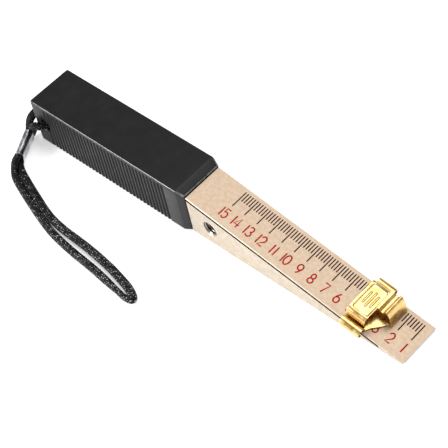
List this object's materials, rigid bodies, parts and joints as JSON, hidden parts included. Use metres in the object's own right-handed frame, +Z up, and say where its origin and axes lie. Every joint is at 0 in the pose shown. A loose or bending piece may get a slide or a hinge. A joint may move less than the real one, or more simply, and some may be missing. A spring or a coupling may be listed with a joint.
{
  "type": "wedge feeler gauge",
  "caption": "Tapered steel wedge gauge with a ribbed plastic handle, a brass index slider that runs along its scale face, and a crimped wrist lanyard.",
  "frame": {"origin": "on the surface the gauge lies on, below the middle of its length and width, leaving out the lanyard", "axes": "+X along the gauge toward the thin tip, +Y to the side with the scale ticks, +Z up"},
  "size_m": [0.1753, 0.0583, 0.0205],
  "materials": {
    "satin_steel": "satin ground, warm champagne tint, red scale marks",
    "black_plastic": "finely textured moulding with a slight sheen",
    "black_screw": "black oxide",
    "brass_sheet": "polished pressed sheet",
    "bronze_spring": "bright rolled phosphor bronze",
    "ferrule_aluminium": "bright, scuffed by the crimping tool",
    "black_braid": "tightly braided nylon"
  },
  "bodies": {
    "gauge": {"wedge_bar": "satin_steel", "handle_body": "black_plastic", "handle_screw": "black_screw", "lanyard_ferrule": "ferrule_aluminium", "lanyard_wrist_cord": "black_braid", "lanyard_handle_cord": "black_braid"},
    "slider": {"slider_base": "brass_sheet", "slider_cover": "brass_sheet", "slider_spring": "bronze_spring"}
  },
  "joints": [
    {"name": "index_slide", "type": "slide", "parent": "gauge", "child": "slider", "axis": [0.9833, 0, -0.1818], "range_m": [-0.0695, 0.0073]}
  ]
}
